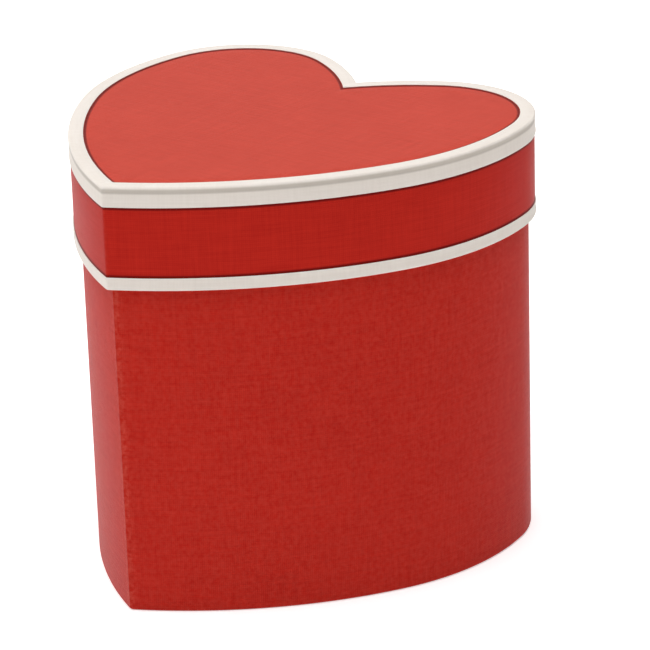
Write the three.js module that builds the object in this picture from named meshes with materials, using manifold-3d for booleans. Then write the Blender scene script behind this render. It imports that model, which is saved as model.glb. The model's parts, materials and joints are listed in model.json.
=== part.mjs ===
// Heart-shaped keepsake box with a lift-off lid and a wind-up comb movement under a false floor.
// Millimetres, +Z up. The origin is on the table, under the middle of the lid.
// The cleft of the heart points to +Y and its point to -Y. The winding key is in the hollow under the floor.
import * as THREE from "three";
import { mergeVertices } from "three/addons/utils/BufferGeometryUtils.js";
import Module from "manifold-3d";

// Box: overall sizes
const heartWidth = 112;
const boxHeight = 107;
const lidHeight = 25;

// Outline of half the heart, from the cleft to the point: four tangent arcs, in degrees.
// The radii are in heart widths, so that the whole outline follows heartWidth.
const cleftHeading = 45;
const heartArcs = [
  { radius: 0.6018, sweep: 18.6 },
  { radius: 0.2325, sweep: 105.2 },
  { radius: 0.5559, sweep: 39.5 },
  { radius: 1.0216, sweep: null },
];
const chordError = 0.2;

// Box: sheet thicknesses and fits
const clothThickness = 0.3;
const tapeThickness = 0.2;
const paperThickness = 0.3;
const wallBoard = 1.8;
const lidTopBoard = 1.6;
const lidSkirtBoard = 0.8;
const lidPlay = 0.3;
const lidRest = 0.2;
const topTapeOnTop = 3.6;
const topTapeDown = 4.9;
const edgeTapeUp = 3.1;
const rimTurnIn = 12;
const recessDepth = 15;
const floorBoard = 2;
const riserBoard = 1.5;
const platformBoard = 1.6;
const chamberSpare = 2.5;

// Movement: place of its drum axis, and plates
const movementY = 8;
const springX = -16.5;
const bedThickness = 1.6;
const bedMargin = 1.5;
const bracketSheet = 1.2;
const footSheet = 1;
const bearingFoot = 9;
const runningFit = 0.15;

// Movement: spring, great wheel, winding
const housingHeight = 9;
const housingWall = 0.8;
const wheelGap = 0.5;
const wheelThickness = 1.2;
const crownTeeth = 36;
const crownModule = 0.6;
const crownFace = 2;
const crownToothHeight = 1.2;
const windingRadius = 2;
const springStrip = 0.4;
const springTurns = 6;
const ratchetTeeth = 12;
const ratchetRadius = 5;
const keyHubRadius = 3.6;
const keyLoopRadius = 4.6;
const keyLoopReach = 6.4;
const keySheet = 1.8;
const keyGroundGap = 2;

// Movement: drum and comb
const noteCount = 18;
const notePitch = 1.15;
const drumRadius = 6.6;
const drumWall = 1;
const pinStand = 0.7;
const pinsPerNote = 3;
const drumArborRadius = 1;
const pinionTeeth = 12;
const pinionFace = 2.4;
const combThickness = 1;
const combLongTooth = 15;
const combShortTooth = 9;
const combBack = 7;
const combSlot = 0.35;
const combGap = 0.15;

// Movement: governor
const trainModule = 0.5;
const drumWheelTeeth = 40;
const governorPinionTeeth = 8;
const governorWheelTeeth = 24;
const governorDrop = 7.2;
const governorArborRadius = 0.6;
const wormPitchRadius = 1.5;
const wormShaftRadius = 0.5;
const fanRadius = 6;
const fanHeight = 5;

// Screws
const bracketScrew = { shank: 0.9, head: 1.9, headHeight: 1.2 };
const combScrew = { shank: 1.1, head: 2.3, headHeight: 1.6 };
const baseScrew = { shank: 1.2, head: 2.3, headHeight: 1.6 };
const screwFit = 0.15;
const washerRadius = 3.2;
const washerThickness = 0.5;
const bossRadius = 2.7;
const bossHeight = 3.4;

// Levels of the box
const bodyInset = 2 * tapeThickness + clothThickness + lidSkirtBoard + lidPlay;
const wallOuter = -(bodyInset + clothThickness);
const wallInner = wallOuter - wallBoard;
const liningInner = wallInner - clothThickness;
const lidBoardTop = boxHeight - tapeThickness - clothThickness;
const lidBoardBottom = lidBoardTop - lidTopBoard;
const bodyTop = lidBoardBottom - paperThickness - lidRest;
const lidBottom = boxHeight - lidHeight;
const floorTop = recessDepth + floorBoard;

// Levels and places in the movement, measured from the floor board and the drum axis
const crownRadius = (crownTeeth * crownModule) / 2;
const pinionRadius = (pinionTeeth * crownModule) / 2;
const housingRadius = crownRadius + crownFace / 2 + 0.5;
const housingTop = bedThickness + housingHeight;
const wheelBottom = housingTop + wheelGap;
const wheelTop = wheelBottom + wheelThickness;
const drumZ = wheelTop + crownToothHeight / 2 + pinionRadius;
const drumLength = noteCount * notePitch + 1.8;
const drumLeft = springX + housingRadius + 0.6;
const drumRight = drumLeft + drumLength;
const pinionX = springX + crownRadius;
const pinCircle = drumRadius + pinStand;
const drumWheelX = drumRight + 1.5;
const drumWheelFace = 1;
const bearingX = drumWheelX + drumWheelFace / 2 + 1.1;
const governorWheelX = bearingX + bracketSheet + 1.9;
const governorRightX = governorWheelX + 1.9;
const governorLeftX = drumRight - 1.3;
const bridgeX = pinionX - pinionFace / 2 - 1.1 - bracketSheet;
const meshDistance = ((drumWheelTeeth + governorPinionTeeth) * trainModule) / 2;
const governorY = Math.sqrt(meshDistance ** 2 - governorDrop ** 2);
const governorZ = drumZ - governorDrop;
const governorWheelRadius = (governorWheelTeeth * trainModule) / 2;
const wormY = governorY + governorWheelRadius + wormPitchRadius;
const fanBottom = drumZ + 1;
const governorArmZ = fanBottom + fanHeight + 1.3;
const governorTop = governorArmZ + bracketSheet;
const governorPostY = wormY + fanRadius + 0.6;
const combTipY = -(pinCircle + combGap);
const combRootY = combTipY - combLongTooth;
const combBackY = combRootY - combBack;
const combLeft = drumLeft + 0.9;
const combRight = combLeft + noteCount * notePitch;
const combBottom = drumZ - combThickness / 2;
const riserTop = floorTop + governorTop + chamberSpare;
const platformTop = riserTop + platformBoard;

const combScrewSpots = [0.22, 0.78].map((share) => [
  combLeft + share * (combRight - combLeft),
  combBackY + combBack / 2,
]);
const bedReach = housingRadius + bedMargin;
const bridgeOffset = bridgeX - springX;
const bridgeLegInner = Math.sqrt(housingRadius ** 2 - bridgeOffset ** 2) + 0.5;
const bridgeLegWidth = 3;
const bridgeScrewSpots = [-1, 1].map((side) => [
  bridgeX + bracketSheet + 2.3,
  side * (bridgeLegInner + bridgeLegWidth / 2),
]);
const bearingScrewSpots = [-2, -6.8].map((y) => [bearingX + bracketSheet + 2.6, y]);
const governorScrewSpots = [5.6, 11.6].map((step) => [governorLeftX + 3, governorY + step]);
const earAngle = (131 * Math.PI) / 180;
const earReach = housingRadius + bossRadius + 0.25;
const baseScrewSpots = [
  [springX + earReach * Math.cos(earAngle), earReach * Math.sin(earAngle)],
  [bearingX + 3.3, -(bearingFoot + bossRadius + 1.3)],
  [combLeft + 1.2, -(bedReach + 4.7)],
];

const paints = {
  board: { color: 0x9c948a, roughness: 0.9, metalness: 0 },
  redCloth: { color: 0xa83a2c, roughness: 0.85, metalness: 0 },
  creamTape: { color: 0xf0e6d8, roughness: 0.8, metalness: 0 },
  creamPaper: { color: 0xe9dfcf, roughness: 0.85, metalness: 0 },
  velvet: { color: 0x7d1f1c, roughness: 0.95, metalness: 0 },
  zinc: { color: 0xa4a6a8, roughness: 0.5, metalness: 0.9 },
  steel: { color: 0xb9bcc0, roughness: 0.3, metalness: 1 },
  springSteel: { color: 0x5d6470, roughness: 0.35, metalness: 1 },
  brass: { color: 0xc9a45a, roughness: 0.3, metalness: 1 },
  nylon: { color: 0xe8e6df, roughness: 0.5, metalness: 0 },
};

const wasm = await Module();
wasm.setup();

// Solids

function solidOf(geometry) {
  const plain = geometry.clone();
  plain.deleteAttribute("normal");
  plain.deleteAttribute("uv");
  const merged = mergeVertices(plain, 1e-4);
  const triVerts = new Uint32Array(merged.index.array);
  const vertProperties = merged.attributes.position.array;
  return new wasm.Manifold(new wasm.Mesh({ numProp: 3, vertProperties, triVerts }));
}

function geometryOf(solid) {
  const { vertProperties, triVerts } = solid.getMesh();
  const geometry = new THREE.BufferGeometry();
  geometry.setAttribute("position", new THREE.BufferAttribute(vertProperties, 3));
  geometry.setIndex(new THREE.BufferAttribute(triVerts, 1));
  geometry.computeVertexNormals();
  return geometry;
}

function join(...geometries) {
  return geometryOf(geometries.map(solidOf).reduce((all, next) => all.add(next)));
}

function cut(geometry, ...tools) {
  return geometryOf(tools.map(solidOf).reduce((left, tool) => left.subtract(tool), solidOf(geometry)));
}

function prism(outline, low, high, holes = []) {
  const shape = new THREE.Shape(outline);
  shape.holes = holes.map((hole) => new THREE.Path(hole));
  const geometry = new THREE.ExtrudeGeometry(shape, { depth: high - low, bevelEnabled: false });
  return geometry.translate(0, 0, low);
}

function box(x, y, z) {
  const geometry = new THREE.BoxGeometry(x[1] - x[0], y[1] - y[0], z[1] - z[0]);
  return geometry.translate((x[0] + x[1]) / 2, (y[0] + y[1]) / 2, (z[0] + z[1]) / 2);
}

// A round bar along Z. Bars of one radius at one place have the same facets, so a hub fits its shaft.
function rod(radius, low, high, [x, y] = [0, 0], sides = 16) {
  const geometry = new THREE.CylinderGeometry(radius, radius, high - low, sides);
  return geometry.rotateX(Math.PI / 2).translate(x, y, (low + high) / 2);
}

function lathe(profile, sides = 32) {
  const points = profile.map(([radius, z]) => new THREE.Vector2(radius, z));
  points.push(points[0]);
  return new THREE.LatheGeometry(points, sides).rotateX(Math.PI / 2);
}

// Heart

// The four arcs of the right half at the outline of the lid, centred on the origin.
function placeHeartArcs() {
  const degrees = Math.PI / 180;
  const arcs = [];
  let heading = cleftHeading * degrees;
  let at = new THREE.Vector2(0, 0);
  for (const { radius, sweep } of heartArcs) {
    const out = new THREE.Vector2(-Math.sin(heading), Math.cos(heading));
    const center = at.clone().addScaledVector(out, -radius);
    const start = heading + Math.PI / 2;
    if (sweep === null) {
      arcs.push({ radius, center, start, end: -Math.acos(-center.x / radius) });
      break;
    }
    heading -= sweep * degrees;
    at = center.clone().add(new THREE.Vector2(-Math.sin(heading), Math.cos(heading)).multiplyScalar(radius));
    arcs.push({ radius, center, start, end: heading + Math.PI / 2 });
  }
  const [, lobe, flank, last] = arcs;
  const scale = heartWidth / 2 / (flank.center.x + flank.radius);
  const top = lobe.center.y + lobe.radius;
  const point = last.center.y + last.radius * Math.sin(last.end);
  for (const arc of arcs) {
    arc.radius *= scale;
    arc.center.y -= (top + point) / 2;
    arc.center.multiplyScalar(scale);
    arc.steps = Math.ceil((arc.start - arc.end) / (2 * Math.acos(1 - chordError / arc.radius)));
  }
  return arcs;
}

const placedArcs = placeHeartArcs();

// The closed outline of the heart, moved outwards by an offset, with sharp corners at cleft and point.
// It runs anticlockwise, as an extruded shape with a hole needs.
function heart(offset) {
  const half = [];
  placedArcs.forEach((arc, index) => {
    const radius = arc.radius + offset;
    const isFirst = index === 0;
    const isLast = index === placedArcs.length - 1;
    const start = isFirst ? Math.PI - Math.acos(arc.center.x / radius) : arc.start;
    const end = isLast ? -Math.acos(-arc.center.x / radius) : arc.end;
    for (let step = isFirst ? 0 : 1; step <= arc.steps; step++) {
      const angle = start + ((end - start) * step) / arc.steps;
      const x = arc.center.x + radius * Math.cos(angle);
      half.push(new THREE.Vector2(x, arc.center.y + radius * Math.sin(angle)));
    }
  });
  half[0].x = 0;
  half[half.length - 1].x = 0;
  const mirrored = half.slice(1, -1).reverse();
  return [...half, ...mirrored.map(({ x, y }) => new THREE.Vector2(-x, y))].reverse();
}

const heartPlate = (offset, low, high, holes) => prism(heart(offset), low, high, holes);
const heartRing = (outer, inner, low, high) => prism(heart(outer), low, high, [heart(inner)]);

// Gears

// A spur gear's outline with straight-sided teeth, one of them centred on the angle "first".
function gearOutline(teeth, module, first) {
  const pitchRadius = (teeth * module) / 2;
  const root = pitchRadius - 1.15 * module;
  const tip = pitchRadius + 0.8 * module;
  const pitchAngle = (2 * Math.PI) / teeth;
  const points = [];
  for (let tooth = 0; tooth < teeth; tooth++) {
    const middle = first + tooth * pitchAngle;
    const halfRoot = (0.27 * Math.PI * module) / root;
    const halfTip = (0.1 * Math.PI * module) / tip;
    for (const [radius, turn] of [
      [root, -halfRoot],
      [tip, -halfTip],
      [tip, halfTip],
      [root, halfRoot],
    ]) {
      points.push(new THREE.Vector2(radius * Math.cos(middle + turn), radius * Math.sin(middle + turn)));
    }
  }
  return points;
}

function gear(teeth, module, first, low, high, bore) {
  return cut(prism(gearOutline(teeth, module, first), low, high), rod(bore, low - 1, high + 1));
}

// A screw along Z whose head sits on "seat", with a slot across it. It points down, or up if flipped.
function screwGeometry(size, length) {
  const shank = rod(size.shank, -length, 0.1, [0, 0], 12);
  const head = rod(size.head, 0, size.headHeight, [0, 0], 16);
  const slotHalf = size.head * 0.13;
  const slot = box([-size.head - 1, size.head + 1], [-slotHalf, slotHalf], [size.headHeight * 0.55, 9]);
  return cut(join(shank, head), slot);
}

// Scene

function group(parent, position = [0, 0, 0]) {
  const made = new THREE.Group();
  made.position.set(...position);
  parent.add(made);
  return made;
}

function mesh(parent, name, geometry, paint, position = [0, 0, 0]) {
  const material = new THREE.MeshStandardMaterial(paints[paint]);
  material.flatShading = true;
  const made = new THREE.Mesh(geometry, material);
  made.name = name;
  made.position.set(...position);
  parent.add(made);
  return made;
}

function addBody(parent) {
  const turnIn = wallInner - clothThickness;
  const rimBottom = bodyTop - rimTurnIn;
  mesh(
    parent,
    "base_wall_cover",
    join(
      heartRing(-bodyInset, wallOuter, 0, bodyTop),
      heartRing(-bodyInset, turnIn, 0, clothThickness),
      heartRing(-bodyInset, turnIn, bodyTop - clothThickness, bodyTop),
      heartRing(wallInner, turnIn, 0, recessDepth),
      heartRing(wallInner, turnIn, rimBottom, bodyTop),
    ),
    "redCloth",
  );
  const wall = heartRing(wallOuter, wallInner, clothThickness, bodyTop - clothThickness);
  mesh(parent, "base_wall_board", wall, "board");
  const screwHoles = (fit) =>
    baseScrewSpots.map(([x, y]) => rod(baseScrew.shank + fit, 0, floorTop + 1, [x, y + movementY]));
  const arborHole = (fit) => rod(windingRadius + fit, 0, floorTop + 1, [springX, movementY]);
  const floor = heartPlate(wallInner, recessDepth, floorTop);
  mesh(parent, "base_floor_board", cut(floor, arborHole(1.2), ...screwHoles(0.3)), "board");
  const sheet = heartPlate(turnIn, recessDepth - paperThickness, recessDepth);
  mesh(parent, "underside_sheet", cut(sheet, arborHole(2), ...screwHoles(0.5)), "creamPaper");
  mesh(parent, "base_lining", heartRing(wallInner, liningInner, platformTop, rimBottom), "creamPaper");
}

function addPlatform(parent) {
  mesh(parent, "platform_riser", heartRing(wallInner, wallInner - riserBoard, floorTop, riserTop), "board");
  mesh(parent, "platform_board", heartPlate(wallInner, riserTop, platformTop), "board");
  mesh(parent, "platform_cover", heartPlate(liningInner, platformTop, platformTop + paperThickness), "velvet");
}

function addLid(parent) {
  const clothOuter = -tapeThickness;
  const boardOuter = clothOuter - clothThickness;
  const boardInner = boardOuter - lidSkirtBoard;
  const boardEdge = lidBottom + tapeThickness;
  const tapeInner = boardInner - tapeThickness;
  mesh(parent, "lid_top_board", heartPlate(boardOuter, lidBoardBottom, lidBoardTop), "board");
  mesh(parent, "lid_skirt_board", heartRing(boardOuter, boardInner, boardEdge, lidBoardBottom), "board");
  mesh(parent, "lid_top_cover", heartPlate(clothOuter, lidBoardTop, boxHeight - tapeThickness), "redCloth");
  mesh(parent, "lid_skirt_cover", heartRing(clothOuter, boardOuter, boardEdge, lidBoardTop), "redCloth");
  mesh(
    parent,
    "lid_top_tape",
    join(
      heartRing(0, clothOuter, boxHeight - topTapeDown, boxHeight),
      heartRing(0, -topTapeOnTop, boxHeight - tapeThickness, boxHeight),
    ),
    "creamTape",
  );
  mesh(
    parent,
    "lid_edge_tape",
    join(
      heartRing(0, clothOuter, lidBottom, lidBottom + edgeTapeUp),
      heartRing(0, tapeInner, lidBottom, boardEdge),
      heartRing(boardInner, tapeInner, lidBottom, lidBottom + edgeTapeUp),
    ),
    "creamTape",
  );
  const lining = heartPlate(boardInner, lidBoardBottom - paperThickness, lidBoardBottom);
  mesh(parent, "lid_lining", lining, "creamPaper");
}

function addBedplate(parent) {
  const z = [0, bedThickness];
  const right = governorRightX + bracketSheet;
  const rail = box([combLeft - 1, combRight + 1], [combBackY, combRootY - 0.3], [0, combBottom]);
  const bosses = baseScrewSpots.map((spot) => rod(bossRadius, 0, bedThickness + bossHeight, spot));
  const bed = join(
    rod(bedReach, ...z, [springX, 0], 32),
    box([springX, right], [-bedReach, bedReach], z),
    box([combLeft - 1, combRight + 1], [combBackY, -bedReach + 1], z),
    box([governorLeftX, right], [bedReach - 1, governorPostY + bracketSheet], z),
    box([baseScrewSpots[0][0], springX], [baseScrewSpots[0][1] - 4, baseScrewSpots[0][1] + 4], z),
    rod(4, ...z, baseScrewSpots[0]),
    rod(4, ...z, baseScrewSpots[1]),
    rail,
    ...bosses,
  );
  const through = (spots, radius) => spots.map((spot) => rod(radius, -1, combBottom + 1, spot, 12));
  const arbor = rod(windingRadius + runningFit, -1, bedThickness + 1, [springX, 0]);
  const brackets = [...bridgeScrewSpots, ...bearingScrewSpots, ...governorScrewSpots];
  const tapped = through(brackets, bracketScrew.shank + screwFit);
  const bases = through(baseScrewSpots, baseScrew.shank + screwFit);
  const combs = through(combScrewSpots, combScrew.shank + screwFit);
  mesh(parent, "bedplate", cut(bed, arbor, ...tapped, ...bases, ...combs), "zinc");
}

// The spring drum stands still, and its strip is shown let down.
function addSpring(parent) {
  const inner = housingRadius - housingWall;
  const bore = windingRadius + runningFit;
  const housing = lathe([
    [inner, bedThickness],
    [housingRadius, bedThickness],
    [housingRadius, housingTop],
    [bore, housingTop],
    [bore, housingTop - housingWall],
    [inner, housingTop - housingWall],
  ]);
  mesh(parent, "spring_housing", housing, "brass", [springX, 0, 0]);
  const spiral = [[], []];
  const steps = springTurns * 16;
  const innermost = windingRadius + 0.6;
  const outermost = inner - 0.3 - springStrip;
  for (let step = 0; step <= steps; step++) {
    const angle = (2 * Math.PI * step) / 16;
    const radius = innermost + ((outermost - innermost) * step) / steps;
    for (const [side, edge] of [radius, radius + springStrip].entries()) {
      spiral[side].push(new THREE.Vector2(edge * Math.cos(angle), edge * Math.sin(angle)));
    }
  }
  const strip = [...spiral[0], ...spiral[1].reverse()];
  const low = bedThickness + 0.5;
  const mainspring = prism(strip, low, housingTop - housingWall - 0.5);
  mesh(parent, "mainspring", mainspring, "springSteel", [springX, 0, 0]);
}

function addGreatWheel(parent) {
  const blocks = [];
  const pitchAngle = (2 * Math.PI) / crownTeeth;
  const halfWidth = 0.19 * Math.PI * crownModule;
  const inner = crownRadius - crownFace / 2;
  const outer = crownRadius + crownFace / 2;
  const profile = [
    new THREE.Vector2(-1.3 * halfWidth, -0.3),
    new THREE.Vector2(1.3 * halfWidth, -0.3),
    new THREE.Vector2(1.3 * halfWidth, 0),
    new THREE.Vector2(0.6 * halfWidth, crownToothHeight),
    new THREE.Vector2(-0.6 * halfWidth, crownToothHeight),
    new THREE.Vector2(-1.3 * halfWidth, 0),
  ];
  for (let tooth = 0; tooth < crownTeeth; tooth++) {
    // the profile lies across the tooth, and is drawn out along the wheel's radius
    const block = prism(profile, inner + 0.05, outer - 0.1).rotateX(Math.PI / 2).rotateZ(Math.PI / 2);
    blocks.push(block.rotateZ((tooth + 0.5) * pitchAngle).translate(0, 0, wheelTop));
  }
  const disc = rod(outer, wheelBottom, wheelTop, [0, 0], 36);
  const bore = rod(windingRadius + runningFit, wheelBottom - 1, wheelTop + 1);
  // the click lies between the ratchet wheel and the crown teeth
  const tip = ratchetRadius + 0.2;
  const band = inner - 0.35 - tip;
  const polar = ([share, degrees]) => {
    const radius = tip + share * band;
    const angle = (degrees * Math.PI) / 180;
    return [radius * Math.cos(angle), radius * Math.sin(angle)];
  };
  const rivetSpot = polar([0.6, 206]);
  const rivetHole = rod(0.8, wheelBottom - 1, wheelTop + 1, rivetSpot, 10);
  const wheel = group(parent, [springX, 0, 0]);
  mesh(wheel, "great_wheel", cut(join(disc, ...blocks), bore, rivetHole), "brass");
  const clickTop = wheelTop + 0.8;
  const corners = [
    [1, 216],
    [0.25, 218],
    [0.35, 192],
    [0, 176],
    [0, 171],
    [0.6, 172],
    [0.85, 195],
  ];
  const finger = corners.map((corner) => new THREE.Vector2(...polar(corner)));
  const click = cut(prism(finger, wheelTop, clickTop), rod(0.8, wheelTop - 1, clickTop + 1, rivetSpot, 10));
  mesh(wheel, "click_spring", click, "springSteel");
  const rivet = join(rod(0.8, wheelBottom, clickTop + 0.2, rivetSpot, 10), rod(1.2, clickTop, clickTop + 0.4, rivetSpot, 10));
  mesh(wheel, "click_rivet", rivet, "steel");
}

function addWinding(parent) {
  const winding = group(parent, [springX, 0, 0]);
  const keyTop = -floorBoard - paperThickness - 1;
  const keyBottom = keyGroundGap - floorTop;
  const loopZ = keyBottom + keyLoopRadius;
  const arborBottom = loopZ + keyLoopRadius * 0.6;
  const ratchetTop = wheelTop + 0.2 + wheelThickness;
  mesh(winding, "winding_arbor", rod(windingRadius, arborBottom, ratchetTop + 0.4), "steel");
  const points = [];
  for (let tooth = 0; tooth < ratchetTeeth; tooth++) {
    const pitchAngle = (2 * Math.PI) / ratchetTeeth;
    const low = ratchetRadius * 0.8;
    const angle = tooth * pitchAngle;
    points.push(new THREE.Vector2(low * Math.cos(angle), low * Math.sin(angle)));
    const turn = angle + 0.86 * pitchAngle;
    points.push(new THREE.Vector2(ratchetRadius * Math.cos(turn), ratchetRadius * Math.sin(turn)));
  }
  const ratchet = cut(prism(points, wheelTop + 0.2, ratchetTop), rod(windingRadius, 0, ratchetTop + 1));
  mesh(winding, "ratchet_wheel", ratchet, "steel");
  const loops = [-1, 1].flatMap((side) => [
    new THREE.CylinderGeometry(keyLoopRadius, keyLoopRadius, keySheet, 20).translate(side * keyLoopReach, 0, loopZ),
  ]);
  const eyes = [-1, 1].map((side) =>
    new THREE.CylinderGeometry(keyLoopRadius * 0.45, keyLoopRadius * 0.45, keySheet + 1, 14).translate(
      side * (keyLoopReach + 0.6),
      0,
      loopZ,
    ),
  );
  const web = box([-keyLoopReach, keyLoopReach], [-keySheet / 2, keySheet / 2], [loopZ - 2, loopZ + 2.4]);
  const hub = rod(keyHubRadius, loopZ - 2, keyTop);
  const key = cut(join(hub, web, ...loops), ...eyes, rod(windingRadius, arborBottom, keyTop + 1));
  mesh(winding, "winding_key", key, "brass").rotation.z = Math.PI / 2;
}

// Everything on the drum's arbor is drawn along Z and laid along X by its group.
function addDrum(parent) {
  const drum = group(parent, [0, 0, drumZ]);
  drum.rotation.y = Math.PI / 2;
  const leftEnd = bridgeX - 0.2;
  const rightEnd = bearingX + bracketSheet + 0.3;
  mesh(drum, "drum_arbor", rod(drumArborRadius, leftEnd, rightEnd), "steel");
  const inner = drumRadius - drumWall;
  const tube = lathe([
    [inner, drumLeft + 1.4],
    [inner, drumRight],
    [drumRadius, drumRight],
    [drumRadius, drumLeft],
    [drumArborRadius * 0.5, drumLeft],
    [drumArborRadius * 0.5, drumLeft + 1.4],
  ].reverse());
  const pins = [];
  const goldenTurn = Math.PI * (3 - Math.sqrt(5));
  for (let note = 0; note < noteCount; note++) {
    for (let beat = 0; beat < pinsPerNote; beat++) {
      const pin = new THREE.CylinderGeometry(0.2, 0.32, pinStand + 0.3, 4);
      pin.translate(0, drumRadius + (pinStand - 0.3) / 2, combLeft + (note + 0.5) * notePitch);
      pins.push(pin.rotateZ((note * pinsPerNote + beat) * goldenTurn + beat * 0.9));
    }
  }
  const bore = rod(drumArborRadius, drumLeft - 1, drumLeft + 3);
  mesh(drum, "pinned_drum", cut(join(tube, ...pins), bore), "brass");
  const faceLow = pinionX - pinionFace / 2;
  const pinion = gear(pinionTeeth, crownModule, 0, faceLow, faceLow + pinionFace, drumArborRadius);
  mesh(drum, "drum_pinion", pinion, "brass");
  const meshAngle = Math.atan2(governorY, governorDrop);
  const toothAngle = meshAngle + Math.PI / drumWheelTeeth;
  const wheelLow = drumWheelX - drumWheelFace / 2;
  const plug = rod(inner - 0.1, drumRight - 1, wheelLow + 0.2, [0, 0], 24);
  const wheel = prism(gearOutline(drumWheelTeeth, trainModule, toothAngle), wheelLow, wheelLow + drumWheelFace);
  const wheelBore = rod(drumArborRadius, drumRight - 2, wheelLow + drumWheelFace + 1);
  mesh(drum, "drum_wheel", cut(join(wheel, plug), wheelBore), "brass");
}

function addDrumBearings(parent) {
  const bore = (x) => rod(drumArborRadius + runningFit, x - 1, x + bracketSheet + 1).rotateY(Math.PI / 2);
  const screwHoles = (spots) => spots.map((spot) => rod(bracketScrew.shank + screwFit, 0, 9, spot, 12));
  const footZ = [bedThickness, bedThickness + footSheet];
  const bridgeSheet = [bridgeX, bridgeX + bracketSheet];
  const legOuter = bridgeLegInner + bridgeLegWidth;
  const beam = box(bridgeSheet, [-legOuter, legOuter], [wheelTop + 2.2, drumZ + 3]);
  const legs = [-1, 1].flatMap((side) => {
    const span = [side * bridgeLegInner, side * legOuter].sort((a, b) => a - b);
    const foot = box([bridgeX, bridgeX + bracketSheet + 4.4], span, footZ);
    return [box(bridgeSheet, span, [bedThickness, drumZ]), foot];
  });
  const lift = new THREE.Matrix4().makeTranslation(0, 0, drumZ);
  const bridge = cut(join(beam, ...legs), bore(bridgeX).applyMatrix4(lift), ...screwHoles(bridgeScrewSpots));
  mesh(parent, "drum_bridge", bridge, "zinc");
  const upright = box([bearingX, bearingX + bracketSheet], [-4, 3], [bedThickness, drumZ + 3]);
  const foot = box([bearingX, bearingX + bracketSheet + 5], [-bearingFoot, 1], footZ);
  const bearing = cut(join(upright, foot), bore(bearingX).applyMatrix4(lift), ...screwHoles(bearingScrewSpots));
  mesh(parent, "drum_bearing", bearing, "zinc");
}

function addComb(parent) {
  const left = combLeft - 1;
  const right = combRight + 1;
  const toothRoot = (note) => {
    const length = combLongTooth + ((combShortTooth - combLongTooth) * note) / (noteCount - 1);
    return combTipY - length;
  };
  const points = [
    [left, combBackY],
    [right, combBackY],
    [right, toothRoot(noteCount - 1)],
  ];
  for (let note = noteCount - 1; note >= 0; note--) {
    const low = combLeft + note * notePitch + combSlot / 2;
    const high = low + notePitch - combSlot;
    points.push([high, toothRoot(note)], [high, combTipY], [low, combTipY], [low, toothRoot(note)]);
  }
  points.push([left, toothRoot(0)]);
  const outline = points.map(([x, y]) => new THREE.Vector2(x, y));
  const plate = prism(outline, combBottom, combBottom + combThickness);
  const holes = combScrewSpots.map((spot) => rod(combScrew.shank + screwFit, 0, drumZ + 5, spot, 12));
  mesh(parent, "comb", cut(plate, ...holes), "steel");
}

function addGovernor(parent) {
  const footZ = [bedThickness, bedThickness + footSheet];
  const right = [governorRightX, governorRightX + bracketSheet];
  const left = [governorLeftX, governorLeftX + 1];
  const post = [governorPostY, governorPostY + bracketSheet];
  const armX = [governorWheelX - 2, governorWheelX + 2];
  const cheekTop = governorZ + 3;
  const pivot = (radius) => rod(radius, governorLeftX - 1, governorRightX + 3).rotateY(Math.PI / 2);
  const frame = cut(
    join(
      box([governorLeftX, right[1]], [governorY + 2.6, post[1]], footZ),
      box(left, [governorY - 2.2, governorY + 3], [bedThickness, cheekTop]),
      box(right, [governorY - 2.2, wormY], [bedThickness, cheekTop]),
      box(armX, post, [bedThickness, governorTop]),
      box(armX, [wormY - 2.4, post[1]], [governorArmZ, governorTop]),
    ),
    pivot(governorArborRadius + runningFit).translate(0, governorY, governorZ),
    rod(wormShaftRadius + runningFit, 0, governorTop + 1, [governorWheelX, wormY], 12),
    ...governorScrewSpots.map((spot) => rod(bracketScrew.shank + screwFit, 0, 9, spot, 12)),
  );
  mesh(parent, "governor_frame", frame, "zinc");

  const train = group(parent, [0, governorY, governorZ]);
  train.rotation.y = Math.PI / 2;
  const arbor = rod(governorArborRadius, governorLeftX - 0.2, governorRightX + bracketSheet + 0.2);
  mesh(train, "governor_arbor", arbor, "steel");
  const toDrum = Math.atan2(governorY, governorDrop) + Math.PI;
  const pinionLow = drumWheelX - 1;
  const pinion = gear(governorPinionTeeth, trainModule, toDrum, pinionLow, pinionLow + 2, governorArborRadius);
  mesh(train, "governor_pinion", pinion, "brass");
  const first = Math.PI / 2 + Math.PI / governorWheelTeeth;
  const wheelLow = governorWheelX - 0.5;
  const wheel = gear(governorWheelTeeth, trainModule, first, wheelLow, wheelLow + 1, governorArborRadius);
  mesh(train, "governor_wheel", wheel, "nylon");

  const spindle = group(parent, [governorWheelX, wormY, governorZ]);
  mesh(spindle, "worm_shaft", wormGeometry(), "steel");
  const vanes = box([-fanRadius, fanRadius], [-0.3, 0.3], [fanBottom, fanBottom + fanHeight]);
  const hub = rod(1.2, fanBottom, fanBottom + fanHeight, [0, 0], 12);
  const fan = cut(join(vanes, hub), rod(wormShaftRadius, fanBottom - 1, governorTop, [0, 0], 12));
  mesh(spindle, "fan", fan.translate(0, 0, -governorZ), "nylon");
}

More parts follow.
